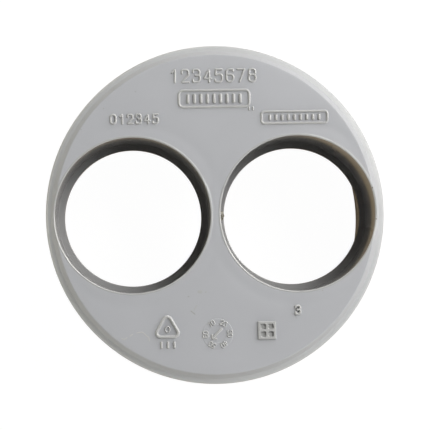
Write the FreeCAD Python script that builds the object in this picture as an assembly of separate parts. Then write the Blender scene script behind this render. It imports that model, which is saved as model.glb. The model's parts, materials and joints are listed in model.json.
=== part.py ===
"""Double reducing bushing for waste pipe, moulded in one piece.

A round plug whose skirt is the spigot that goes into a large pipe socket. Two pipe sockets for
smaller pipes are let into its flat face, side by side. Each ends in a shoulder that stops the pipe.

Millimetres. The open end of the spigot stands on z = 0, the flat face looks up along +Z, and the
two sockets lie on the X axis, one on each side of the Z axis.
"""
import FreeCAD, Part
import math
import os

# Plug
SPIGOT_DIAMETER = 110.0
OVERALL_HEIGHT = 56.0
FACE_THICKNESS = 3.4
SKIRT_WALL = 3.6

# Edge between the flat face and the skirt: a steep step, then a gentle ledge that runs into a round
EDGE_WIDTH = 3.2
STEP_WIDTH = 1.4
STEP_ANGLE = 60.0
LEDGE_WIDTH = 0.9
LEDGE_ANGLE = 17.0

# Lead at the open end of the spigot
LEAD_LENGTH = 3.0
LEAD_DEPTH = 0.8

# Sockets, each in a tube that just reaches the outside of the skirt
SOCKET_DIAMETER = 50.4
SOCKET_DEPTH = 30.0
SOCKET_WALL = 3.0
SOCKET_ROOT_CHAMFER = 0.5

# Shoulder that stops the pipe
STOP_DIAMETER = 46.0
STOP_THICKNESS = 1.6

# Rounds in the two pockets under the face, and the share of the upright corner's round that the
# round at the foot of the walls has
POCKET_CORNER_RADIUS = 1.2
POCKET_FOOT_SHARE = 0.9

# Extra length of a cutting tool past the surface that it opens, and a length taken as none
OVERSHOOT = 1.0
NEGLIGIBLE = 0.001

SPIGOT_RADIUS = SPIGOT_DIAMETER / 2
FACE_RADIUS = SPIGOT_RADIUS - EDGE_WIDTH
INSIDE_RADIUS = SPIGOT_RADIUS - SKIRT_WALL
CEILING_Z = OVERALL_HEIGHT - FACE_THICKNESS
TUBE_END_Z = OVERALL_HEIGHT - SOCKET_DEPTH - STOP_THICKNESS
TUBE_RADIUS = SOCKET_DIAMETER / 2 + SOCKET_WALL
SOCKET_OFFSET = SPIGOT_RADIUS - TUBE_RADIUS
SOCKET_CENTRES = (-SOCKET_OFFSET, SOCKET_OFFSET)
UP = FreeCAD.Vector(0, 0, 1)


def section_point(radius, z):
    """Point of a turned section, in the XZ plane."""
    return FreeCAD.Vector(radius, 0, z)


def turned(edges, centre_x=0.0):
    """Solid of revolution of a closed section about the vertical line x = centre_x."""
    solid = Part.Face(Part.Wire(edges)).revolve(FreeCAD.Vector(0, 0, 0), UP, 360)
    return solid.translated(FreeCAD.Vector(centre_x, 0, 0))


def lines(points):
    """Straight edges through the points in turn."""
    return [Part.makeLine(a, b) for a, b in zip(points, points[1:])]


def plug_blank():
    """The whole plug without any hollow: lead, skirt, round, ledge, step and flat face."""
    angle = math.radians(LEDGE_ANGLE)
    step_end = FACE_RADIUS + STEP_WIDTH
    step_z = OVERALL_HEIGHT - STEP_WIDTH * math.tan(math.radians(STEP_ANGLE))
    ledge_end = step_end + LEDGE_WIDTH
    ledge_z = step_z - LEDGE_WIDTH * math.tan(angle)
    round_radius = (SPIGOT_RADIUS - ledge_end) / (1 - math.sin(angle))
    round_z = ledge_z - round_radius * math.cos(angle)
    middle = (math.pi / 2 - angle) / 2
    axis_low = section_point(0, 0)
    skirt_top = section_point(SPIGOT_RADIUS, round_z)
    round_middle = section_point(
        SPIGOT_RADIUS - round_radius + round_radius * math.cos(middle),
        round_z + round_radius * math.sin(middle),
    )
    ledge_low = section_point(ledge_end, ledge_z)
    step_low = section_point(step_end, step_z)
    face_edge = section_point(FACE_RADIUS, OVERALL_HEIGHT)
    axis_high = section_point(0, OVERALL_HEIGHT)
    lead_low = section_point(SPIGOT_RADIUS - LEAD_DEPTH, 0)
    lead_high = section_point(SPIGOT_RADIUS, LEAD_LENGTH)
    edges = lines([axis_low, lead_low, lead_high, skirt_top])
    edges.append(Part.Arc(skirt_top, round_middle, ledge_low).toShape())
    edges += lines([ledge_low, step_low, face_edge, axis_high, axis_low])
    return turned(edges)


def outlet_hollow():
    """Open chamber of the spigot, from its end up to the ends of the two tubes."""
    base = FreeCAD.Vector(0, 0, -OVERSHOOT)
    return Part.makeCylinder(INSIDE_RADIUS, TUBE_END_Z + OVERSHOOT, base, UP)


def pockets():
    """The two hollows under the face, between the skirt and the tubes, with rounded corners.

    They reach down into the outlet chamber, so that their lower rims leave no wall.
    """
    low_z = TUBE_END_Z - OVERSHOOT
    base = FreeCAD.Vector(0, 0, low_z)
    height = CEILING_Z - low_z
    space = Part.makeCylinder(INSIDE_RADIUS, height, base, UP)
    for centre_x in SOCKET_CENTRES:
        tube_base = FreeCAD.Vector(centre_x, 0, low_z - OVERSHOOT)
        tube = Part.makeCylinder(TUBE_RADIUS, height + 2 * OVERSHOOT, tube_base, UP)
        space = space.cut(tube)
    return [rounded_pocket(solid) for solid in space.Solids]


def is_upright(edge):
    """True for a straight edge along Z."""
    return edge.BoundBox.XLength + edge.BoundBox.YLength < NEGLIGIBLE


def rounded_pocket(solid):
    """One pocket with its upright corners rounded, then the foot of its walls at the face."""
    upright = [edge for edge in solid.Edges if is_upright(edge)]
    solid = solid.makeFillet(POCKET_CORNER_RADIUS, upright)
    ceiling = [edge for edge in solid.Edges if edge.BoundBox.ZMin > CEILING_Z - NEGLIGIBLE]
    return solid.makeFillet(POCKET_CORNER_RADIUS * POCKET_FOOT_SHARE, ceiling)


def socket_bore(centre_x):
    """Parallel socket with a small chamfer at its root, and the narrower way past the stop."""
    wall = SOCKET_DIAMETER / 2
    stop = STOP_DIAMETER / 2
    above = OVERALL_HEIGHT + OVERSHOOT
    shoulder_z = OVERALL_HEIGHT - SOCKET_DEPTH
    below = TUBE_END_Z - OVERSHOOT
    section = [
        section_point(0, above),
        section_point(wall, above),
        section_point(wall, shoulder_z + SOCKET_ROOT_CHAMFER),
        section_point(wall - SOCKET_ROOT_CHAMFER, shoulder_z),
        section_point(stop, shoulder_z),
        section_point(stop, below),
        section_point(0, below),
        section_point(0, above),
    ]
    return turned(lines(section), centre_x)


def bushing():
    """The plug with its outlet chamber, its two pockets and its two sockets taken out."""
    body = plug_blank().cut(outlet_hollow())
    for pocket in pockets():
        body = body.cut(pocket)
    for centre_x in SOCKET_CENTRES:
        body = body.cut(socket_bore(centre_x))
    return body.removeSplitter()


os.makedirs("parts", exist_ok=True)
shape = bushing()
shape.exportStep("parts/bushing.step")
print("bushing", len(shape.Solids), "solid,", round(shape.Volume), "mm3, valid", shape.isValid())
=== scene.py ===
import json
import math

import bmesh
import bpy
import numpy as np
from mathutils import Matrix, Vector


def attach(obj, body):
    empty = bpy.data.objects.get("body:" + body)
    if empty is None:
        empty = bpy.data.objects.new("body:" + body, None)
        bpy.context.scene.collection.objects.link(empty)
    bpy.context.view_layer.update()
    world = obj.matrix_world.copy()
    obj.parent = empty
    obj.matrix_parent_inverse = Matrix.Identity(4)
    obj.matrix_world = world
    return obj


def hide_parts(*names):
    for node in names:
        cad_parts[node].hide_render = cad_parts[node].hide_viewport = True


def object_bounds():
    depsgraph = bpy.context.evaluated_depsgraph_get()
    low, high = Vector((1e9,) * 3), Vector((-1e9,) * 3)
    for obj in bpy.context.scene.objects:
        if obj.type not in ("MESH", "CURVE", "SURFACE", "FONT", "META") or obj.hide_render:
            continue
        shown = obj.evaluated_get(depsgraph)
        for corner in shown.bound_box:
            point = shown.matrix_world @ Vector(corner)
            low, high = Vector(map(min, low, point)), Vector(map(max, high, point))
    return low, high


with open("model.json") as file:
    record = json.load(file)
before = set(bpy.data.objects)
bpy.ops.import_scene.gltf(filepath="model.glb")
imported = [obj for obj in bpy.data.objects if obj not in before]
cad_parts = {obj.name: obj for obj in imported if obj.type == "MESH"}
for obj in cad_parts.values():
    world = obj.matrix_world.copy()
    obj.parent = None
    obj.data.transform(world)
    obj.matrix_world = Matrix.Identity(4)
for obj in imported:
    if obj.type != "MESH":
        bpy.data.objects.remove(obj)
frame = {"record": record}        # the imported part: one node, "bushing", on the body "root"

cad_low, cad_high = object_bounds()

# The moulded body
# One shot of grey rigid PVC: a round plug whose skirt is the spigot, with two pipe sockets let into
# its flat face and open pockets between their tubes. Its surfaces are worked out for the half with
# the right socket, in rows that run round the socket's axis, and mirrored for the left half.

# Lengths are in millimetres until a mesh is made
MM = 0.001
MOUNTS = {mount["name"]: mount for mount in frame["record"]["mounts"]}
SPIGOT_RADIUS = round(cad_high.x / MM, 2)
HEIGHT = round(cad_high.z / MM, 2)
SKIRT_WALL = 3.6
FACE_THICKNESS = 3.4
INSIDE_RADIUS = SPIGOT_RADIUS - SKIRT_WALL
CEILING_Z = HEIGHT - FACE_THICKNESS

# Edge of the face, outwards: a soft crease, a steep step, its foot, a gentle ledge, and a round
EDGE_WIDTH = 3.2
CREASE_ROUND = 0.26
STEP_WIDTH = 1.4
STEP_SLOPE = math.tan(math.radians(60))
STEP_FOOT_ROUND = 0.15
LEDGE_WIDTH = 0.9
LEDGE_ANGLE = math.radians(17)
LEDGE_SLOPE = math.tan(LEDGE_ANGLE)
FACE_RADIUS = SPIGOT_RADIUS - EDGE_WIDTH
STEP_RADIUS = FACE_RADIUS + STEP_WIDTH
LEDGE_RADIUS = STEP_RADIUS + LEDGE_WIDTH
EDGE_ROUND = (SPIGOT_RADIUS - LEDGE_RADIUS) / (1 - math.sin(LEDGE_ANGLE))
STEP_FOOT_Z = HEIGHT - STEP_WIDTH * STEP_SLOPE
EDGE_ROUND_Z = STEP_FOOT_Z - LEDGE_WIDTH * LEDGE_SLOPE - EDGE_ROUND * math.cos(LEDGE_ANGLE)

# Lead at the skirt's open end, and the small round on each lip
LEAD_LENGTH = 3.0
LEAD_DEPTH = 0.8
LIP_ROUND = 0.2

# Sockets with the shoulders that stop the pipes, the tubes round them, and the rounds in the pockets
SOCKET_X = MOUNTS["socket_right"]["pos_m"][0] / MM
SOCKET_RADIUS = MOUNTS["socket_right"]["dims"]["r_mm"]
SOCKET_DEPTH = 30.0
SOCKET_WALL = 3.0
ROOT_ROUND = 0.1
STOP_RADIUS = 23.0
STOP_THICKNESS = 1.6
SHOULDER_Z = HEIGHT - SOCKET_DEPTH
TUBE_END_Z = SHOULDER_Z - STOP_THICKNESS
TUBE_RADIUS = SOCKET_RADIUS + SOCKET_WALL
POCKET_ROUND = 1.2
FOOT_ROUND = 1.08

# Rim of each mouth: its width and low crown, and on its inner part a slope down into the socket.
# It is level from its inner side out to a share of its width.
RIM_WIDTH = 0.62
RIM_CROWN = 0.05
SLOPE_SHARE = 0.6
SLOPE_DROP = 0.07
SLOPE_POWER = 1.2
LEVEL_SHARE = 0.9
LEVEL_AT_SHARE = 0.75
RIM_ROWS = 16

# Shallow groove that the cooling plastic left over each tube's root, fading out at the edge
SINK_RADIUS = 29.4
SINK_WIDTH = 1.7
SINK_DEPTH = 0.08
SINK_FADE = 3

# The round in the wedge between tube and skirt touches both: its centre is one round's radius inside
# the skirt and one outside the tube. The round in the valley between the tubes touches both tubes.
ROUND_REACH = TUBE_RADIUS + POCKET_ROUND
WEDGE_OUT = INSIDE_RADIUS - POCKET_ROUND
WEDGE_X = (WEDGE_OUT**2 - ROUND_REACH**2 + SOCKET_X**2) / (2 * SOCKET_X)
WEDGE_Y = math.sqrt(WEDGE_OUT**2 - WEDGE_X**2)
VALLEY_Y = math.sqrt(ROUND_REACH**2 - SOCKET_X**2)


def seen_from_socket(x, y):
    """Angle about the right socket's axis at which a point of the plan lies."""
    return math.atan2(y, x - SOCKET_X)


WEDGE_ANGLE = seen_from_socket(WEDGE_X, WEDGE_Y)
WEDGE_TIP = WEDGE_ANGLE - math.asin(POCKET_ROUND / ROUND_REACH)
WEDGE_TOUCH = seen_from_socket(WEDGE_X * INSIDE_RADIUS / WEDGE_OUT, WEDGE_Y * INSIDE_RADIUS / WEDGE_OUT)
SEAM_ANGLE = seen_from_socket(0, INSIDE_RADIUS)
VALLEY_ANGLE = seen_from_socket(0, VALLEY_Y)
VALLEY_TIP = seen_from_socket(0, VALLEY_Y - POCKET_ROUND)


# Columns of the mesh, in degrees about the socket's axis: the even step, the least distance of an even
# column from an exact one, and the close columns past the seam
COLUMN_STEP = 1.2
COLUMN_GAP = 0.4
PAST_SEAM = (0, 0.06, 0.14, 0.26, 0.45, 0.8)
WEDGE_COLUMNS = 9
VALLEY_COLUMNS = 7


def column_angles():
    """Angles about the socket's axis, in order from -pi to pi: even steps, with the places where the
    plan's outlines meet put in exactly, and closer steps along the small rounds."""
    wedge = WEDGE_TIP + (WEDGE_ANGLE - WEDGE_TIP) * np.linspace(0, 1, WEDGE_COLUMNS) ** 2
    seam = SEAM_ANGLE + np.radians(PAST_SEAM)
    valley = np.linspace(VALLEY_ANGLE, VALLEY_TIP, VALLEY_COLUMNS)
    exact = np.concatenate([wedge, [WEDGE_TOUCH], seam, valley, [0.0, math.pi]])
    even = np.radians(np.arange(COLUMN_STEP, 179.5, COLUMN_STEP))
    apart = np.abs(even[:, None] - exact[None, :]).min(axis=1) > math.radians(COLUMN_GAP)
    half = np.unique(np.concatenate([exact, even[apart]]))
    return np.concatenate([-half[:0:-1], half])


ROUNDING = 1e-9
angles = column_angles()
turn = np.abs(angles)
side = np.sign(angles)
aim = np.stack([np.cos(angles), np.sin(angles)], axis=1)
socket_axis = np.array([SOCKET_X, 0.0])
outer_columns = np.flatnonzero(turn <= SEAM_ANGLE + ROUNDING)
past_seam = turn > SEAM_ANGLE


def hit_circle(centre, radius, far):
    """Points where the rays from the socket's axis meet a circle of the plan, on its near or far side:
    the roots of the distance along each ray at which the point is one radius from the centre."""
    to_centre = np.stack([np.full(turn.shape, centre[0] - SOCKET_X), side * centre[1]], axis=1)
    along = (to_centre * aim).sum(axis=1)
    depth = np.sqrt(np.maximum(radius**2 - (to_centre**2).sum(axis=1) + along**2, 0))
    return socket_axis + aim * (along + (depth if far else -depth))[:, None]


def hit_seam():
    """Points where the rays from the socket's axis meet the middle plane x = 0."""
    return np.stack([np.zeros(turn.shape), side * SOCKET_X * np.tan(math.pi - turn)], axis=1)


def pick(choices, default):
    """Per column, the point of the first choice whose condition holds."""
    conditions = [condition[:, None] for condition, points in choices]
    return np.select(conditions, [points for condition, points in choices], default)


skirt_points = hit_circle((0, 0), INSIDE_RADIUS, far=True)
seam_points = hit_seam()
tube_points = socket_axis + aim * TUBE_RADIUS
wedge_near = hit_circle((WEDGE_X, WEDGE_Y), POCKET_ROUND, far=False)
wedge_far = hit_circle((WEDGE_X, WEDGE_Y), POCKET_ROUND, far=True)
valley_near = hit_circle((0, VALLEY_Y), POCKET_ROUND, far=False)
bearing = np.arctan2(skirt_points[:, 1], skirt_points[:, 0])

# Outline of a pocket, and of the tubes' end faces: its tube side and its skirt side
tube_side = pick(
    [
        (turn < WEDGE_TIP - ROUNDING, skirt_points),
        (turn < WEDGE_ANGLE, wedge_near),
        (turn < VALLEY_ANGLE, tube_points),
        (turn < VALLEY_TIP - ROUNDING, valley_near),
    ],
    seam_points,
)
tube_side[np.isclose(turn, VALLEY_TIP)] = np.stack(
    [np.zeros(2), np.array([-1, 1]) * (VALLEY_Y - POCKET_ROUND)], axis=1
)
skirt_side = pick(
    [
        (turn < WEDGE_TIP - ROUNDING, skirt_points),
        (turn < WEDGE_TOUCH, wedge_far),
        (turn < SEAM_ANGLE + ROUNDING, skirt_points),
    ],
    seam_points,
)


def at_height(plan, z):
    """Points of the plan lifted to z, which is one height or one for each column."""
    return np.concatenate([plan, np.broadcast_to(z, turn.shape)[:, None]], axis=1)


def ring(radius, z):
    """Circle about the socket's axis."""
    return at_height(socket_axis + aim * radius, z)


def hoop_plan(radius):
    """Plan of a circle about the part's axis, on the bearings at which the rays meet the skirt."""
    return np.stack([radius * np.cos(bearing), radius * np.sin(bearing)], axis=1)


def hoop(radius, z):
    """Circle about the part's axis."""
    return at_height(hoop_plan(radius), z)


def soft_ramp(past, ease):
    """Nothing before a corner and the distance past it after it, eased by a parabola between."""
    return np.where(past > ease, past, np.maximum(past + ease, 0) ** 2 / (4 * ease))


def edge_height(radius):
    """Height of the top at a distance from the part's axis: level, a crease, the steep step, its foot,
    the gentle ledge, and the round into the skirt. Each slope is a ramp past its own corner."""
    on_step = STEP_SLOPE * soft_ramp(radius - FACE_RADIUS, CREASE_ROUND)
    on_ledge = (STEP_SLOPE - LEDGE_SLOPE) * soft_ramp(radius - STEP_RADIUS, STEP_FOOT_ROUND)
    across = np.clip(radius - (SPIGOT_RADIUS - EDGE_ROUND), -EDGE_ROUND, EDGE_ROUND)
    on_round = EDGE_ROUND_Z + np.sqrt(EDGE_ROUND**2 - across**2)
    return np.where(radius < LEDGE_RADIUS, HEIGHT - on_step + on_ledge, on_round)


def from_axis(plan, x=0.0):
    """Distance of the plan's points from the upright line at x."""
    return np.hypot(plan[:, 0] - x, plan[:, 1])


def sink(plan):
    """Depth of the shallow groove that the cooling plastic left over each tube's root: a bell curve
    of the distance from the socket's axis, for both sockets, fading out towards the edge."""
    bells = [
        np.exp(-(((from_axis(plan, x) - SINK_RADIUS) / SINK_WIDTH) ** 2)) for x in (-SOCKET_X, SOCKET_X)
    ]
    inland = np.clip((FACE_RADIUS - from_axis(plan)) / SINK_FADE, 0, 1)
    return SINK_DEPTH * inland * (1 - (1 - bells[0]) * (1 - bells[1]))


def face_height(plan):
    """Height of the face with its edge and its shallow sink, at points of the plan."""
    return edge_height(from_axis(plan)) - sink(plan)


rim_edge = socket_axis + aim * (SOCKET_RADIUS + RIM_WIDTH)


def outside_rim(plan):
    """The plan's points, with those that lie inside the rim's outer edge moved out to it."""
    return np.where(from_axis(plan, SOCKET_X)[:, None] < SOCKET_RADIUS + RIM_WIDTH, rim_edge, plan)


def rim_rows():
    """Rows over the rim of the mouth: a low crown, a parabola across the rim's width, less a slope on
    its inner side that leads down into the socket. Where the mouth cuts into the edge, the rim takes
    the height that the edge has under one place of its width, and meets the edge at its outer side."""
    level_plan = socket_axis + aim * (SOCKET_RADIUS + LEVEL_AT_SHARE * RIM_WIDTH)
    level = edge_height(from_axis(level_plan))
    rows = []
    for share in np.linspace(0, 1, RIM_ROWS):
        plan = socket_axis + aim * (SOCKET_RADIUS + share * RIM_WIDTH)
        crown = 4 * RIM_CROWN * share * (1 - share)
        slope = SLOPE_DROP * max(1 - share / SLOPE_SHARE, 0) ** SLOPE_POWER
        ground = level if share < LEVEL_SHARE else edge_height(from_axis(plan))
        rows.append(at_height(plan, ground + crown - slope))
    return rows


# Rows of the face: set distances past the rim, close over the sink, then parts of what is left
FACE_ROWS_PAST_RIM = (0.2, 0.6, 1.1, 1.7, 2.3, 2.9, 3.5, 4.1, 4.8, 5.7, 6.9, 8.5)
FACE_ROW_PARTS = (0.2, 0.4, 0.6, 0.8, 1)


def face_rows(first_row):
    """Rows of the flat face, from the rim to the start of the crease or to the seam: at set distances
    past the rim, close over the sink, then at even parts of what is left."""
    crease = hoop_plan(FACE_RADIUS - CREASE_ROUND)
    on_seam = seam_points * (FACE_RADIUS - CREASE_ROUND) / INSIDE_RADIUS
    border = outside_rim(np.where(past_seam[:, None], on_seam, crease))
    reach = np.maximum(np.linalg.norm(border - rim_edge, axis=1), ROUNDING)
    rows = [first_row]
    for past_rim in FACE_ROWS_PAST_RIM:
        share = np.minimum(past_rim / reach, 1)
        plan = rim_edge + (border - rim_edge) * share[:, None]
        rows.append(at_height(plan, face_height(plan)))
    for part in FACE_ROW_PARTS:
        plan = rim_edge + (border - rim_edge) * (share + (1 - share) * part)[:, None]
        rows.append(at_height(plan, face_height(plan)))
    return rows


def edge_rows(first_row):
    """Rows of the crease, the step, the ledge and the round, down to the top of the skirt. Where a
    socket's mouth cuts into the edge, they start at its rim."""
    crease_radii = FACE_RADIUS + CREASE_ROUND * np.linspace(-0.8, 1, 10)
    step_radii = FACE_RADIUS + STEP_WIDTH * np.array([0.4, 0.6, 0.8])
    foot_radii = STEP_RADIUS + STEP_FOOT_ROUND * np.linspace(-1, 1, 7)
    ledge_radii = [(STEP_RADIUS + LEDGE_RADIUS) / 2]
    swing = np.linspace(math.pi / 2 - LEDGE_ANGLE, 0, 13)
    round_radii = SPIGOT_RADIUS - EDGE_ROUND * (1 - np.cos(swing))
    rows = [first_row]
    for radius in np.concatenate([crease_radii, step_radii, foot_radii, ledge_radii, round_radii]):
        plan = outside_rim(hoop_plan(radius))
        rows.append(at_height(plan, edge_height(from_axis(plan))))
    return rows


def skirt_rows(first_row):
    """Rows down the outside of the skirt, round its end, and up its inside to the tubes' ends: the
    radius and the height of each, close together at the bends."""
    lead_radius = SPIGOT_RADIUS - LEAD_DEPTH
    section = [
        (SPIGOT_RADIUS, EDGE_ROUND_Z - 0.4),
        (SPIGOT_RADIUS, HEIGHT * 0.6),
        (SPIGOT_RADIUS, HEIGHT * 0.3),
        (SPIGOT_RADIUS, LEAD_LENGTH + 0.5),
        (SPIGOT_RADIUS - 0.01, LEAD_LENGTH),
        (SPIGOT_RADIUS - 0.13, LEAD_LENGTH - 0.5),
        (lead_radius + 0.05, LIP_ROUND),
        (lead_radius - 0.03, LIP_ROUND / 4),
        (lead_radius - LIP_ROUND, 0),
        (INSIDE_RADIUS + LIP_ROUND, 0),
        (INSIDE_RADIUS + LIP_ROUND / 4, LIP_ROUND / 4),
        (INSIDE_RADIUS, LIP_ROUND),
        (INSIDE_RADIUS, 0.8),
        (INSIDE_RADIUS, TUBE_END_Z / 2),
        (INSIDE_RADIUS, TUBE_END_Z - 0.3),
    ]
    rows = [hoop(radius, z) for radius, z in section]
    return [first_row, *rows, at_height(skirt_points, TUBE_END_Z)]


# Rows of a socket's wall and of a pocket's walls, as parts of their height, and of a pocket's ceiling:
# the distances from a wall in rounds of its foot, and the parts of the level stretch between them
BORE_PARTS = (0.02, 0.2, 0.4, 0.6, 0.8, 0.95, 0.99)
WALL_PARTS = (0, 0.03, 0.5, 0.97, 1)
CEILING_ROUNDS = (0, 0.06, 0.17, 0.33, 0.55, 0.8, 1.12)
CEILING_PARTS = (0.25, 0.5, 0.75)


def bore_rows(rim_row):
    """Rows up the way past the stop, over the shoulder, and up the socket's wall to the mouth."""
    swing = np.radians([0, 30, 60, 90])
    root_radii = SOCKET_RADIUS - ROOT_ROUND * (1 - np.sin(swing))
    root_heights = SHOULDER_Z + ROOT_ROUND * (1 - np.cos(swing))
    section = [
        (STOP_RADIUS + LIP_ROUND, TUBE_END_Z),
        (STOP_RADIUS + LIP_ROUND / 4, TUBE_END_Z + LIP_ROUND / 4),
        (STOP_RADIUS, TUBE_END_Z + LIP_ROUND),
        (STOP_RADIUS, SHOULDER_Z - LIP_ROUND),
        (STOP_RADIUS + LIP_ROUND / 4, SHOULDER_Z - LIP_ROUND / 4),
        (STOP_RADIUS + LIP_ROUND, SHOULDER_Z),
        *zip(root_radii, root_heights),
    ]
    rows = [ring(radius, z) for radius, z in section]
    wall_top = rim_row[:, 2]
    wall_foot = SHOULDER_Z + ROOT_ROUND
    for part in BORE_PARTS:
        rows.append(ring(SOCKET_RADIUS, wall_foot + (wall_top - wall_foot) * part))
    return [*rows, rim_row]


def ceiling_height(plan):
    """Height of a pocket's ceiling: level, with a quarter round down to the walls by the distance to
    the nearest of them."""
    to_wall = np.minimum(from_axis(plan, SOCKET_X), from_axis(plan, -SOCKET_X)) - TUBE_RADIUS
    to_wall = np.clip(np.minimum(to_wall, INSIDE_RADIUS - from_axis(plan)), 0, FOOT_ROUND)
    return CEILING_Z - FOOT_ROUND + np.sqrt(FOOT_ROUND**2 - (FOOT_ROUND - to_wall) ** 2)


def between(low, high, parts):
    """Rows from one row to another at the given parts of the way."""
    return [low + (high - low) * part for part in parts]


def ceiling_rows():
    """Rows across a pocket's ceiling, from its skirt side to its tube side, close near both."""
    near = np.array(CEILING_ROUNDS) * FOOT_ROUND
    width = np.maximum(np.linalg.norm(tube_side - skirt_side, axis=1), ROUNDING)
    near_parts = [np.minimum(distance / width, 0.45) for distance in near]
    far_parts = [1 - part for part in near_parts[::-1]]
    level_parts = between(near_parts[-1], far_parts[0], CEILING_PARTS)
    rows = []
    for part in [*near_parts, *level_parts, *far_parts]:
        plan = skirt_side + (tube_side - skirt_side) * part[:, None]
        rows.append(at_height(plan, ceiling_height(plan)))
    return rows


WELD = 0.0008
SHARP_ANGLE = math.radians(32)


def block_quads(down, across):
    """Corners of the quads between the points of a block of rows by columns, counted row by row."""
    corner = (np.arange(down - 1)[:, None] * across + np.arange(across - 1)[None, :]).ravel()
    return np.stack([corner, corner + across, corner + across + 1, corner + 1], axis=1)


def welded_mesh(name, points, quads, kinds):
    """One mesh in metres from points in millimetres, with the points that meet made one, and smooth
    except at its sharp edges."""
    mesh = bpy.data.meshes.new(name)
    mesh.from_pydata(points * MM, [], quads)
    mesh.polygons.foreach_set("material_index", kinds)
    shell = bmesh.new()
    shell.from_mesh(mesh)
    bmesh.ops.remove_doubles(shell, verts=shell.verts, dist=WELD * MM)
    shell.to_mesh(mesh)
    shell.free()
    mesh.shade_smooth()
    mesh.set_sharp_from_angle(angle=SHARP_ANGLE)
    return mesh


class Skin:
    """Collects patches of quads, each a block of rows by columns, and their mirror image."""

    def __init__(self):
        self.points = []
        self.quads = []
        self.kinds = []
        self.count = 0

    def patch(self, rows, columns=slice(None), kind=0):
        """Quads between each row and the next, over a run of columns, with the kind of their surface.
        The mirror image has its corners in the other order, so that it too faces outwards."""
        block = np.array(rows)[:, columns]
        quads = block_quads(*block.shape[:2])
        block = block.reshape(-1, 3)
        for flip, order in ((1, slice(None)), (-1, slice(None, None, -1))):
            self.points.append(block * (flip, 1, 1))
            self.quads.append(quads[:, order] + self.count)
            self.kinds.append(np.full(len(quads), kind))
            self.count += len(block)

    def mesh(self, name):
        """One welded mesh in metres."""
        parts = (self.points, self.quads, self.kinds)
        return welded_mesh(name, *(np.concatenate(part) for part in parts))


# Kinds of surface. The step's starts at the edge's row just past the crease's corner, and the ledge's
# at the middle row of the step's foot.
MOULDED, POLISHED, RIM, STEP, LEDGE = range(5)
STEP_START = 7
LEDGE_START = 17

rim = rim_rows()
face = face_rows(rim[-1])
edge = edge_rows(face[-1])
skirt = skirt_rows(edge[-1])
bore = bore_rows(rim[0])
ceiling = ceiling_rows()
tube_end = at_height(tube_side, TUBE_END_Z)
skirt_at_tube_end = at_height(skirt_side, TUBE_END_Z)
outer_run = slice(outer_columns[0], outer_columns[-1] + 1)

skin = Skin()
skin.patch(rim, kind=RIM)
skin.patch(face, kind=MOULDED)
skin.patch(edge[:STEP_START + 1], outer_run, MOULDED)
skin.patch(edge[STEP_START:LEDGE_START + 1], outer_run, STEP)
skin.patch(edge[LEDGE_START:], outer_run, LEDGE)
skin.patch(skirt, outer_run, MOULDED)
skin.patch([skirt[-1], skirt_at_tube_end], outer_run, MOULDED)
skin.patch([tube_end, bore[0]], kind=MOULDED)
skin.patch(bore, kind=POLISHED)
for sign in (-1, 1):
    between_tips = (turn > WEDGE_TIP - ROUNDING) & (turn < VALLEY_TIP + ROUNDING)
    in_pocket = np.flatnonzero((side == sign) & between_tips)
    at_skirt = in_pocket[turn[in_pocket] < SEAM_ANGLE + ROUNDING]
    pocket_run = slice(in_pocket[0], in_pocket[-1] + 1)
    skirt_run = slice(at_skirt[0], at_skirt[-1] + 1)
    skin.patch(between(skirt_at_tube_end, ceiling[0], WALL_PARTS), skirt_run, MOULDED)
    skin.patch(ceiling, pocket_run, MOULDED)
    skin.patch(between(ceiling[-1], tube_end, WALL_PARTS), pocket_run, MOULDED)

# Tint of the plastic's gloss, its cloudy drift and its fine grain. The scales are those of the noise.
GLOSS_TINT = (1.0, 0.965, 0.89, 1)
DRIFT_SCALE = 28
DRIFT_FROM = 0.3
DRIFT_TO = 0.7
GRAIN_SCALE = 1400
GRAIN_STRENGTH = 0.35
NOISE_DETAIL = 3


def grey_pvc(name, dark, pale, roughness, grain, index=1.52):
    """Satin grey rigid PVC: an even grey with a faint cloudy drift from the melt between a dark and a
    pale tone, a slightly warm gloss, and a fine grain in the surface, its depth in millimetres."""
    material = bpy.data.materials.new(name)
    material.use_nodes = True
    nodes, links = material.node_tree.nodes, material.node_tree.links
    shader = nodes["Principled BSDF"]
    place = nodes.new("ShaderNodeTexCoord")

    def noise(scale):
        """Cloudy noise on the piece's own coordinates."""
        texture = nodes.new("ShaderNodeTexNoise")
        texture.inputs["Scale"].default_value = scale
        texture.inputs["Detail"].default_value = NOISE_DETAIL
        links.new(place.outputs["Object"], texture.inputs["Vector"])
        return texture.outputs["Fac"]

    drift = nodes.new("ShaderNodeMapRange")
    drift.inputs["From Min"].default_value = DRIFT_FROM
    drift.inputs["From Max"].default_value = DRIFT_TO
    links.new(noise(DRIFT_SCALE), drift.inputs["Value"])
    tint = nodes.new("ShaderNodeMix")
    tint.data_type = "RGBA"
    tint.inputs[6].default_value = dark
    tint.inputs[7].default_value = pale
    links.new(drift.outputs["Result"], tint.inputs[0])
    links.new(tint.outputs[2], shader.inputs["Base Color"])

    shader.inputs["Roughness"].default_value = roughness
    shader.inputs["IOR"].default_value = index
    shader.inputs["Specular Tint"].default_value = GLOSS_TINT
    bump = nodes.new("ShaderNodeBump")
    bump.inputs["Strength"].default_value = GRAIN_STRENGTH
    bump.inputs["Distance"].default_value = grain * MM
    links.new(noise(GRAIN_SCALE), bump.inputs["Height"])
    links.new(bump.outputs["Normal"], shader.inputs["Normal"])
    return material


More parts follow.
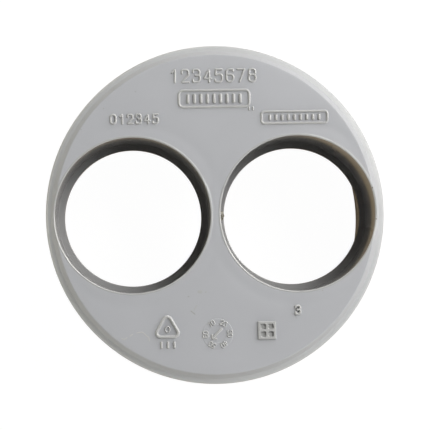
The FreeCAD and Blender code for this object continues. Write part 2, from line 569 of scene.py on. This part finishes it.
# Satin on the face and the skirt, glossy in the sockets, smooth on the rims and the marks. The colours
# are copies of the face's grey: darker in the sockets as painted shade, paler and warmer on the rims and
# marks as painted highlight, darker on the step as painted shade and paler on the ledge as painted
# light.
moulded_pvc = grey_pvc(
    "moulded_pvc", (0.434, 0.440, 0.459, 1), (0.457, 0.463, 0.484, 1), roughness=0.4, grain=0.02
)
# Painted shade: the sockets' plastic is a darker, warmer grey than the face's, which darkens the sockets
polished_painted_shade_pvc = grey_pvc(
    "polished_painted_shade_pvc", (0.386, 0.382, 0.380, 1), (0.406, 0.402, 0.400, 1), roughness=0.11, grain=0.002
)
# Glossier finish for the rims and marks; their paler, warmer grey than the face's is painted highlight
smooth_painted_highlight_pvc = grey_pvc(
    "smooth_painted_highlight_pvc", (0.448, 0.448, 0.442, 1), (0.471, 0.471, 0.464, 1), roughness=0.22, grain=0.002,
    index=1.7,
)
# Painted shade and painted light on the edge: the step's plastic is a darker grey than the face's, the
# ledge's a paler one
step_painted_shade_pvc = grey_pvc(
    "step_painted_shade_pvc", (0.416, 0.421, 0.434, 1), (0.438, 0.443, 0.457, 1), roughness=0.4, grain=0.02
)
ledge_painted_light_pvc = grey_pvc(
    "ledge_painted_light_pvc", (0.457, 0.462, 0.466, 1), (0.481, 0.486, 0.490, 1), roughness=0.4, grain=0.02
)

body_mesh = skin.mesh("moulded_body")
for material in (moulded_pvc, polished_painted_shade_pvc, smooth_painted_highlight_pvc, step_painted_shade_pvc, ledge_painted_light_pvc):
    body_mesh.materials.append(material)
body = bpy.data.objects.new("moulded_body", body_mesh)
bpy.context.scene.collection.objects.link(body)
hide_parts("bushing")
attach(body, "root")

# Raised marks on the face
# Thin lines of the same plastic, cut into the mould, so that they stand a little proud of the face:
# rows of plain numerals, two plain frames with short bars, and a triangle.
NUMERAL_WIDTH = 0.56

# How deep a bead's foot lies in the face, the shares of its half width at which it has its rows, the
# points round its ends and round a corner, and the most of a line that a corner's arc may take
LINE_SINK = 0.3
LINE_SHARES = np.array([0, 0.2, 0.4, 0.58, 0.74, 0.87, 0.96, 1.0])
CAP_STEPS = 9
CORNER_STEPS = 9
CORNER_REACH = 0.499

# Lines of each numeral on a grid 1 wide and 1 high, as corners (x, y, radius of the rounded corner)
NUMERALS = {
    0: [[(0, 0, 0.5), (1, 0, 0.5), (1, 1, 0.5), (0, 1, 0.5)]],
    1: [[(0.2, 0.78, 0), (0.62, 1, 0.04), (0.62, 0, 0)]],
    2: [[(0.02, 0.72, 0), (0.02, 1, 0.46), (0.98, 1, 0.46), (0.98, 0.56, 0.3), (0, 0, 0.04), (1, 0, 0)]],
    3: [
        [(0.02, 0.8, 0), (0.05, 1, 0.4), (0.95, 1, 0.46), (0.95, 0.54, 0.4), (0.36, 0.54, 0)],
        [(0.46, 0.51, 0), (1, 0.51, 0.46), (1, 0, 0.46), (0, 0, 0.46), (0, 0.2, 0)],
    ],
    4: [[(0.72, 0, 0), (0.72, 1, 0.05), (0, 0.28, 0.05), (1, 0.28, 0)]],
    5: [
        [
            (0.94, 1, 0), (0.12, 1, 0.05), (0.04, 0.56, 0.05),
            (1, 0.68, 0.46), (1, 0, 0.46), (0, 0, 0.46), (0, 0.18, 0),
        ],
    ],
    6: [
        [
            (0.95, 0.86, 0), (0.9, 1, 0.35), (0, 1, 0.5),
            (0, 0, 0.5), (1, 0, 0.5), (1, 0.6, 0.5), (0.03, 0.56, 0),
        ],
    ],
    7: [[(0, 1, 0), (1, 1, 0.05), (0.3, 0, 0)]],
    8: [
        [(0, 0, 0.46), (1, 0, 0.46), (1, 0.56, 0.46), (0, 0.56, 0.46)],
        [
            (0.24, 0.54, 0), (0.06, 0.6, 0.2), (0.06, 1, 0.42),
            (0.94, 1, 0.42), (0.94, 0.6, 0.2), (0.76, 0.54, 0),
        ],
    ],
}
CLOSED_NUMERAL_LINES = {(0, 0), (8, 0)}


def rounded_path(corners, closed=False):
    """Points along the straight lines between corners, each corner replaced by the arc that touches
    both of its lines, at its own radius or as large as half the shorter line allows."""
    corners = np.array(corners, dtype=float)
    spots, radii = corners[:, :2], corners[:, 2]
    path = []
    for index, (spot, radius) in enumerate(zip(spots, radii)):
        at_end = not closed and index in (0, len(spots) - 1)
        if at_end or radius == 0:
            path.append(spot[None, :])
            continue
        back, ahead = spots[index - 1] - spot, spots[(index + 1) % len(spots)] - spot
        reach_back, reach_ahead = np.linalg.norm(back), np.linalg.norm(ahead)
        back, ahead = back / reach_back, ahead / reach_ahead
        half_corner = math.acos(np.clip(back @ ahead, -1, 1)) / 2
        touch = min(radius / math.tan(half_corner), CORNER_REACH * min(reach_back, reach_ahead))
        radius = touch * math.tan(half_corner)
        inward = (back + ahead) / np.linalg.norm(back + ahead)
        centre = spot + inward * math.hypot(touch, radius)
        swing = np.linspace(-1, 1, CORNER_STEPS)[:, None] * (math.pi / 2 - half_corner)
        across = (ahead - back) / np.linalg.norm(ahead - back)
        path.append(centre + radius * (np.sin(swing) * across - np.cos(swing) * inward))
    return np.concatenate(path)


def raised_line(path, width, height, closed=False):
    """Blocks of a bead that follows a path. At a share r of its half width out from the line, the
    bead's top is the face's height plus height * sqrt(1 - r * r). Its foot is sunk into the face. A
    closed line takes two blocks, one on each side, and an open one takes one block round its ends."""
    ahead = np.roll(path, -1, axis=0) - path
    ahead /= np.linalg.norm(ahead, axis=1)[:, None]
    if closed:
        along = ahead + np.roll(ahead, 1, axis=0)
    else:
        along = np.concatenate([ahead[:1], ahead[:-2] + ahead[1:-1], ahead[-2:-1]])
    along /= np.linalg.norm(along, axis=1)[:, None]
    left = np.stack([-along[:, 1], along[:, 0]], axis=1)
    if closed:
        ways = [np.concatenate([path, path[:1]]), np.concatenate([path, path[:1]])[::-1]]
        outs = [np.concatenate([-left, -left[:1]]), np.concatenate([left, left[:1]])[::-1]]
    else:
        swing = np.linspace(0, math.pi, CAP_STEPS)[1:-1, None]
        far_cap = -(np.cos(swing) * left[-1] - np.sin(swing) * along[-1])
        near_cap = np.cos(swing) * left[0] - np.sin(swing) * along[0]
        far_end = np.repeat(path[-1:], len(swing), 0)
        near_end = np.repeat(path[:1], len(swing), 0)
        ways = [np.concatenate([path, far_end, path[::-1], near_end, path[:1]])]
        outs = [np.concatenate([-left, far_cap, left[::-1], near_cap, -left[:1]])]
    blocks = []
    for way, out in zip(ways, outs):
        rows = []
        for share in LINE_SHARES:
            plan = way + out * share * width / 2
            rise = height * math.sqrt(1 - share**2)
            rows.append(np.concatenate([plan, (face_height(plan) + rise)[:, None]], axis=1))
        rows.append(rows[-1] - (0, 0, LINE_SINK))
        rows.append(np.concatenate([way, (face_height(way) - LINE_SINK)[:, None]], axis=1))
        blocks.append(np.array(rows))
    return blocks


def row_of_numerals(numerals, corner, size, pitch, width, height, tilt=0.0):
    """Beads of plain numerals in a row from its lower left corner, turned about that corner."""
    turned = np.array([(math.cos(tilt), math.sin(tilt)), (-math.sin(tilt), math.cos(tilt))])
    blocks = []
    for place, numeral in enumerate(numerals):
        for index, corners in enumerate(NUMERALS[numeral]):
            closed = (numeral, index) in CLOSED_NUMERAL_LINES
            corners = [
                (x * NUMERAL_WIDTH * size + place * pitch, y * size, radius * NUMERAL_WIDTH * size)
                for x, y, radius in corners
            ]
            path = rounded_path(corners, closed) @ turned + corner
            blocks += raised_line(path, width, height, closed)
    return blocks


def frame_line(low, high, radius, width, height):
    """Bead round a rectangle with rounded corners."""
    corners = [(*low, radius), (high[0], low[1], radius), (*high, radius), (low[0], high[1], radius)]
    return raised_line(rounded_path(corners, closed=True), width, height, closed=True)


def bar(start, end, width, height):
    """Bead along one straight line."""
    return raised_line(np.array([start, end], dtype=float), width, height)


def upright_bars(places, low, high, width, height):
    """Beads side by side, each straight up the face from one y to another."""
    return [block for x in places for block in bar((x, low), (x, high), width, height)]


# By default a mark takes the rims' plastic, whose paler, warmer grey is painted highlight
def marked(name, blocks, material=smooth_painted_highlight_pvc):
    """The piece made of these blocks, each of rows by columns of points, on the face."""
    points = []
    quads = []
    count = 0
    for block in blocks:
        down, across = block.shape[:2]
        points.append(block.reshape(-1, 3))
        quads.append(block_quads(down, across) + count)
        count += down * across
    quads = np.concatenate(quads)
    mesh = welded_mesh(name, np.concatenate(points), quads, np.zeros(len(quads), dtype=int))
    mesh.materials.append(material)
    piece = bpy.data.objects.new(name, mesh)
    bpy.context.scene.collection.objects.link(piece)
    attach(piece, "root")


upper_numerals = row_of_numerals(
    range(1, 9), corner=(-13.9, 42.9), size=4.05, pitch=3.62, width=0.7, height=0.48
)
left_numerals = row_of_numerals(
    range(6), corner=(-33.5, 29.75), size=2.9, pitch=2.74, width=0.68, height=0.52
)
face_numeral = row_of_numerals([3], corner=(25.35, -32.7), size=2.65, pitch=0, width=0.8, height=0.78)
marked("upper_numerals", upper_numerals)
marked("left_numerals", left_numerals)
marked("face_numeral", face_numeral)

upper_frame = frame_line((-11.3, 34.8), (11.5, 40.2), radius=1.4, width=0.85, height=0.52)
upper_frame += upright_bars(np.linspace(-8.4, 8.6, 9), 36.4, 38.6, width=1.05, height=0.78)
marked("upper_frame", upper_frame)

right_frame = frame_line((15.4, 29.2), (36.8, 33.0), radius=0.9, width=0.8, height=0.58)
right_frame += upright_bars(np.linspace(18.1, 34.1, 9), 30.55, 31.65, width=0.95, height=0.72)
marked("right_frame", right_frame)

TRIANGLE = [(-20.6, -39.4, 1.3), (-11.8, -39.4, 1.3), (-16.2, -31.6, 1.3)]
triangle = raised_line(rounded_path(TRIANGLE, closed=True), width=1.05, height=0.72, closed=True)
triangle += frame_line((-16.9, -37.9), (-15.5, -36.1), radius=0.7, width=0.5, height=0.4)
triangle += upright_bars((-18.2, -16.1, -14.0), -42.8, -41.2, width=0.78, height=0.6)
marked("triangle", triangle)
marked("ticks", upright_bars((11.4, 12.6), 33.7, 34.5, width=0.55, height=0.42))

# Dial
# The print that a mould's date clock leaves in the plastic: a raised ring with plain numbers round a
# slightly lower disc with an arrow. In the mould that disc can be turned.
DIAL_CENTRE = np.array([0.0, -38.75])
DIAL_RADIUS = 5.0
DISC_RADIUS = 2.85
DIAL_RISE = 0.06
DISC_DROP = 0.05
DIAL_COLUMNS = 97

# Width of the slope at each step of the dial, and of the narrow strip beside it that keeps it crisp
DIAL_STEP = 0.14
DIAL_LIP = 0.05

dial_angles = np.linspace(0, 2 * math.pi, DIAL_COLUMNS)
dial_aim = np.stack([np.cos(dial_angles), np.sin(dial_angles)], axis=1)
dial_section = [
    (0, DIAL_RISE - DISC_DROP),
    (DISC_RADIUS - DIAL_STEP - DIAL_LIP, DIAL_RISE - DISC_DROP),
    (DISC_RADIUS - DIAL_STEP, DIAL_RISE - DISC_DROP),
    (DISC_RADIUS, DIAL_RISE),
    (DISC_RADIUS + DIAL_LIP, DIAL_RISE),
    (DIAL_RADIUS - DIAL_STEP - DIAL_LIP, DIAL_RISE),
    (DIAL_RADIUS - DIAL_STEP, DIAL_RISE),
    (DIAL_RADIUS, 0),
    (DIAL_RADIUS, -LINE_SINK),
    (0, -LINE_SINK),
]
dial_rows = []
for radius, rise in dial_section:
    plan = DIAL_CENTRE + dial_aim * radius
    dial_rows.append(np.concatenate([plan, np.full((len(plan), 1), HEIGHT + rise)], axis=1))
marked("dial_plate", [np.array(dial_rows)], moulded_pvc)

# Six numbers of two numerals, each with its foot towards the dial's centre
NUMBERS = 6
FIRST_NUMBER = 121
NUMBER_SIZE = 1.55
NUMBER_PITCH = 1.15
NUMBER_RADIUS = 3.95
NUMBER_SPAN = NUMBER_PITCH + NUMERAL_WIDTH * NUMBER_SIZE
dial_numbers = []
for place in range(NUMBERS):
    toward = math.radians(FIRST_NUMBER - 360 / NUMBERS * place)
    tilt = toward - math.pi / 2
    across = np.array([math.cos(tilt), math.sin(tilt)])
    outward = np.array([math.cos(toward), math.sin(toward)])
    corner = DIAL_CENTRE + outward * (NUMBER_RADIUS - NUMBER_SIZE / 2) - across * NUMBER_SPAN / 2
    dial_numbers += row_of_numerals(
        (place + 1, 0), corner, NUMBER_SIZE, NUMBER_PITCH, width=0.42, height=0.38, tilt=tilt
    )
ARROW_HEAD = [(-1.8, -39.1, 0), (-1.75, -40.3, 0.36), (-0.5, -40.25, 0)]
dial_numbers += bar((1.15, -37.2), (-1.3, -39.82), width=0.9, height=0.66)
dial_numbers += raised_line(rounded_path(ARROW_HEAD), width=0.7, height=0.5)
marked("dial_numbers", dial_numbers)

# Square pad
# A raised square with sharp sides and four square recesses, in the same plastic.
PAD_CENTRE = np.array([15.95, -37.8])
PAD_HALF = 2.9
PAD_RISE = 0.72
PAD_ROUND = 0.26
PAD_CELLS = 76
RECESS_HALF = 0.86
RECESS_PITCH = 2.46
RECESS_SIDE = 0.1
RECESS_FLOOR = 0.03
RECESS_POWER = 4

# The pad's top is a grid of heights: level, a quarter round down to its sides by the distance to the
# nearest of them, and an eased drop into each recess, whose outline is a square with soft corners.
pad_steps = np.linspace(-PAD_HALF, PAD_HALF, PAD_CELLS + 1)
pad_x, pad_y = np.meshgrid(pad_steps, pad_steps[::-1])
to_side = PAD_HALF - np.maximum(np.abs(pad_x), np.abs(pad_y))
pad_top = PAD_RISE - PAD_ROUND + np.sqrt(PAD_ROUND**2 - np.clip(PAD_ROUND - to_side, 0, PAD_ROUND) ** 2)
from_recess_x = np.abs(np.abs(pad_x) - RECESS_PITCH / 2)
from_recess_y = np.abs(np.abs(pad_y) - RECESS_PITCH / 2)
from_recess = (from_recess_x**RECESS_POWER + from_recess_y**RECESS_POWER) ** (1 / RECESS_POWER)
into_recess = np.clip((RECESS_HALF - from_recess) / RECESS_SIDE + 0.5, 0, 1)
pad_top -= (PAD_RISE - RECESS_FLOOR) * into_recess**2 * (3 - 2 * into_recess)
pad_grid = np.stack([pad_x + PAD_CENTRE[0], pad_y + PAD_CENTRE[1], HEIGHT + pad_top], axis=2)
pad_border = np.concatenate(
    [pad_grid[:, 0], pad_grid[-1, 1:], pad_grid[-2::-1, -1], pad_grid[0, -2::-1]]
)
pad_foot = np.concatenate([pad_border[:, :2], np.full((len(pad_border), 1), HEIGHT - LINE_SINK)], axis=1)
pad_middle = np.broadcast_to((*PAD_CENTRE, HEIGHT - LINE_SINK), pad_foot.shape)
marked("square_pad", [pad_grid, np.array([pad_border, pad_foot, pad_middle])])

# Traces of making and handling
# A soft warm-grey fleck of flash left by the mould in the right socket, just under its mouth, two
# dark specks on the far side of that mouth's rim, and on the face a pale fibre, short dark scuffs
# and dots and faint smudges, each laid on as a very thin bead or lump.
FLASH_CENTRE = (SOCKET_X - SOCKET_RADIUS + 0.15, -0.5, HEIGHT - 1.0)
FLASH_REACH = (0.9, 1.5, 0.85)

flash_pvc = grey_pvc(
    "flash_pvc", (0.13, 0.118, 0.09, 1), (0.25, 0.235, 0.2, 1), roughness=0.2, grain=0.02
)
scuffed_pvc = grey_pvc(
    "scuffed_pvc", (0.34, 0.34, 0.33, 1), (0.37, 0.37, 0.36, 1), roughness=0.6, grain=0.01
)
smudged_pvc = grey_pvc(
    "smudged_pvc", (0.417, 0.418, 0.415, 1), (0.436, 0.437, 0.434, 1), roughness=0.5, grain=0.01
)
pale_fibre = grey_pvc("fibre", (0.50, 0.49, 0.465, 1), (0.54, 0.53, 0.505, 1), roughness=0.8, grain=0.01)


def fleck(centre, reach):
    """A closed lump: a sphere stretched to its reach, its radius swelling and shrinking by a tenth or
    two with sines of its two angles."""
    around, down = np.meshgrid(np.linspace(0, 2 * math.pi, 41), np.linspace(0, math.pi, 25))
    waves = 0.16 * np.sin(3 * around + 4 * down) + 0.12 * np.cos(5 * around - 3 * down)
    swell = 1 + np.sin(down) ** 2 * waves
    ball = np.stack([np.sin(down) * np.cos(around), np.sin(down) * np.sin(around), np.cos(down)], axis=2)
    return np.array(centre) + ball * swell[:, :, None] * np.array(reach)


rim_specks = [
    fleck((51.02, 7.83, HEIGHT - 0.1), (0.17, 0.24, 0.12)),
    fleck((52.22, -2.3, HEIGHT - 1.04), (0.16, 0.26, 0.14)),
]
marked("flash", [fleck(FLASH_CENTRE, FLASH_REACH), *rim_specks], flash_pvc)

# The stretches of the fibre that show, as corners (x, y, radius of the rounded corner)
FIBRE_PATHS = (
    [(-31.1, -39.7, 0), (-30.4, -40.0, 0.4), (-29.6, -39.7, 0.4), (-29.3, -39.4, 0)],
    [(-28.4, -39.0, 0), (-27.5, -38.4, 0)],
    [
        (-26.1, -38.0, 0), (-24.7, -37.7, 2), (-23.9, -38.0, 1), (-23.2, -38.8, 1),
        (-22.4, -39.5, 0.6), (-22.1, -40.0, 0.4), (-22.2, -40.6, 0),
    ],
)
FIBRE_WIDTH = 0.24
FIBRE_HEIGHT = 0.03
fibres = []
for corners in FIBRE_PATHS:
    fibres += raised_line(rounded_path(corners), FIBRE_WIDTH, FIBRE_HEIGHT)
marked("face_fibre", fibres, pale_fibre)

TRACE_HEIGHT = 0.02
DOTS = ((-25.35, 40.11), (-35.77, 34.73), (-43.1, 28.0))
DOT_WIDTH = 0.34
DOT_HALF = 0.03
scuffs = bar((-8.5, -31.2), (-7.25, -32.2), 0.34, TRACE_HEIGHT)
scuffs += bar((-9.3, -26.5), (-9.2, -26.5), 0.4, TRACE_HEIGHT)
for x, y in DOTS:
    scuffs += bar((x - DOT_HALF, y), (x + DOT_HALF, y), DOT_WIDTH, TRACE_HEIGHT)
scuffs.append(fleck((34.2, -25.2, HEIGHT), (0.16, 0.16, 0.04)))
marked("scuffs", scuffs, scuffed_pvc)

smudges = bar((-5.8, -25.0), (-5.2, -25.05), 1.0, TRACE_HEIGHT)
smudges += bar((-3.6, -25.1), (-3.55, -25.1), 0.5, TRACE_HEIGHT)
smudges += bar((-6.6, -29.4), (-7.5, -30.8), 0.34, TRACE_HEIGHT)
marked("smudges", smudges, smudged_pvc)

# Floor and background
# A plain matt table top under the part, wide and pale. The camera sees it and the space behind it as
# white, with a faint shadow of the part left on it. To glossy rays the floor glows a dim warm brown that
# no shadow dims, which paints a warm reflection into the part's gloss, in the sockets above all.
# Sizes and places are in metres from here on.
FLOOR_HALF = 4.0
FLOOR_Z = -0.00005
FLOOR_PALE = (0.85, 0.83, 0.77, 1)
FLOOR_IN_GLOSS = (0.218, 0.153, 0.072, 1)
FLOOR_WHITE = 0.98
SHADOW_SHARE = 0.08

floor_corners = FLOOR_HALF * np.array([(-1, -1, 0), (1, -1, 0), (1, 1, 0), (-1, 1, 0)]) + (0, 0, FLOOR_Z)
floor_mesh = bpy.data.meshes.new("floor")
floor_mesh.from_pydata(floor_corners, [], [(0, 1, 2, 3)])
floor = bpy.data.objects.new("floor", floor_mesh)
bpy.context.scene.collection.objects.link(floor)
floor_material = bpy.data.materials.new("floor")
floor_material.use_nodes = True
nodes, links = floor_material.node_tree.nodes, floor_material.node_tree.links
nodes.clear()


def floor_node(kind, **values):
    """Shader node of the floor, with the values of its sockets by name."""
    node = nodes.new(kind)
    for socket, value in values.items():
        node.inputs[socket].default_value = value
    return node


matt = floor_node("ShaderNodeBsdfDiffuse", Color=FLOOR_PALE)
# Painted reflection: the floor's glow of warm brown, seen only in gloss
warm = floor_node("ShaderNodeEmission", Color=FLOOR_IN_GLOSS)
white = floor_node("ShaderNodeEmission", Color=(1, 1, 1, 1), Strength=FLOOR_WHITE / (1 - SHADOW_SHARE))
shaded = floor_node("ShaderNodeMixShader", Fac=SHADOW_SHARE)
for_gloss = floor_node("ShaderNodeMixShader")
for_camera = floor_node("ShaderNodeMixShader")
ray = floor_node("ShaderNodeLightPath")
links.new(white.outputs["Emission"], shaded.inputs[1])
links.new(matt.outputs["BSDF"], shaded.inputs[2])
links.new(ray.outputs["Is Glossy Ray"], for_gloss.inputs["Fac"])
links.new(matt.outputs["BSDF"], for_gloss.inputs[1])
links.new(warm.outputs["Emission"], for_gloss.inputs[2])
links.new(ray.outputs["Is Camera Ray"], for_camera.inputs["Fac"])
links.new(for_gloss.outputs["Shader"], for_camera.inputs[1])
links.new(shaded.outputs["Shader"], for_camera.inputs[2])
links.new(for_camera.outputs["Shader"], floor_node("ShaderNodeOutputMaterial").inputs["Surface"])
floor_mesh.materials.append(floor_material)

# Light
# Soft light from many broad windows, strongest on the right and behind on the right, from pale walls
# in front and on the left, and from a glow all round the horizon. Straight above the part it is dark.
HORIZON_COLOUR = (0.98, 0.99, 1.0, 1)
HORIZON_GLOW = 2.0
HORIZON_FALL = 6

WINDOW_DISTANCE = 1.06
WINDOW_WIDTH = 0.5
DAYLIGHT = (1, 1, 1)
CREAM = (1.0, 0.985, 0.87)

# Each window's name, azimuth and elevation in degrees, height, watts and colour
WINDOWS = (
    ("high_window_right", 20, 54, 0.45, 3.3, DAYLIGHT),
    ("high_window_front", -10, 54, 0.45, 0.35, DAYLIGHT),
    ("high_window_back", 50, 54, 0.45, 3.85, DAYLIGHT),
    ("window_back", 95, 22, 0.45, 0.7, DAYLIGHT),
    ("window_back_right", 70, 22, 0.45, 0.8, DAYLIGHT),
    ("window_right_1", 45, 22, 0.45, 1.55, DAYLIGHT),
    ("window_right_2", 20, 22, 0.45, 3.95, DAYLIGHT),
    ("window_front_right", -60, 22, 0.45, 1.75, DAYLIGHT),
    ("window_front", -90, 22, 0.45, 0.8, DAYLIGHT),
    ("wall_front", 300, 8, 0.28, 0.75, CREAM),
    ("wall_front_left", 230, 22, 0.45, 0.85, CREAM),
    ("wall_left", 190, 22, 0.45, 1.1, CREAM),
    ("low_wall_left", 180, 8, 0.28, 1.7, CREAM),
    ("wall_back_left", 150, 22, 0.45, 0.35, CREAM),
    ("low_wall_back", 120, 8, 0.28, 0.45, CREAM),
)

world = bpy.data.worlds.new("room")
bpy.context.scene.world = world
world.use_nodes = True
nodes, links = world.node_tree.nodes, world.node_tree.links
glow = nodes["Background"]
glow.inputs["Color"].default_value = HORIZON_COLOUR
seen_white = nodes.new("ShaderNodeBackground")
seen_white.inputs["Color"].default_value = (1, 1, 1, 1)

# The glow's strength is HORIZON_GLOW * (1 - |z|) ** HORIZON_FALL for a direction of length 1.
direction = nodes.new("ShaderNodeTexCoord")
upward = nodes.new("ShaderNodeSeparateXYZ")
steepness = nodes.new("ShaderNodeMath")
steepness.operation = "ABSOLUTE"
flatness = nodes.new("ShaderNodeMath")
flatness.operation = "SUBTRACT"
flatness.use_clamp = True
flatness.inputs[0].default_value = 1
fall = nodes.new("ShaderNodeMath")
fall.operation = "POWER"
fall.inputs[1].default_value = HORIZON_FALL
strength = nodes.new("ShaderNodeMath")
strength.operation = "MULTIPLY"
strength.inputs[1].default_value = HORIZON_GLOW
ray = nodes.new("ShaderNodeLightPath")
for_camera = nodes.new("ShaderNodeMixShader")
links.new(direction.outputs["Generated"], upward.inputs["Vector"])
links.new(upward.outputs["Z"], steepness.inputs[0])
links.new(steepness.outputs["Value"], flatness.inputs[1])
links.new(flatness.outputs["Value"], fall.inputs[0])
links.new(fall.outputs["Value"], strength.inputs[0])
links.new(strength.outputs["Value"], glow.inputs["Strength"])
links.new(ray.outputs["Is Camera Ray"], for_camera.inputs["Fac"])
links.new(glow.outputs["Background"], for_camera.inputs[1])
links.new(seen_white.outputs["Background"], for_camera.inputs[2])
links.new(for_camera.outputs["Shader"], nodes["World Output"].inputs["Surface"])

for name, azimuth, elevation, tall, watts, colour in WINDOWS:
    window = bpy.data.lights.new(name, "AREA")
    window.shape = "RECTANGLE"
    window.size = WINDOW_WIDTH
    window.size_y = tall
    window.energy = watts
    window.color = colour
    lamp = bpy.data.objects.new(name, window)
    bpy.context.scene.collection.objects.link(lamp)
    lamp.rotation_euler = (math.radians(90 - elevation), 0, math.radians(90 + azimuth))
    lamp.location = lamp.rotation_euler.to_matrix() @ Vector((0, 0, WINDOW_DISTANCE))

# Camera
# It looks almost straight down on the face from 0.65 m, a little from the left and from the front.
CAMERA_PLACE = Vector((-0.0248, -0.0232, 0.703))
CAMERA_RIGHT = Vector((0.99916, -0.01661, 0.03755))
CAMERA_UP = Vector((0.01527, 0.99924, 0.03573))
CAMERA_LENS = 167.65
CAMERA_SHIFT = 0.0011
SENSOR_WIDTH = 36
camera_data = bpy.data.cameras.new("camera")
camera_data.sensor_width = SENSOR_WIDTH
camera_data.lens = CAMERA_LENS
camera_data.shift_x = -CAMERA_SHIFT
camera_data.shift_y = CAMERA_SHIFT
camera = bpy.data.objects.new("camera", camera_data)
bpy.context.scene.collection.objects.link(camera)
turned_to = Matrix((CAMERA_RIGHT, CAMERA_UP, CAMERA_RIGHT.cross(CAMERA_UP))).transposed()
camera.matrix_world = Matrix.LocRotScale(CAMERA_PLACE, turned_to, None)
bpy.context.scene.camera = camera

bpy.context.scene.view_settings.view_transform = "Standard"
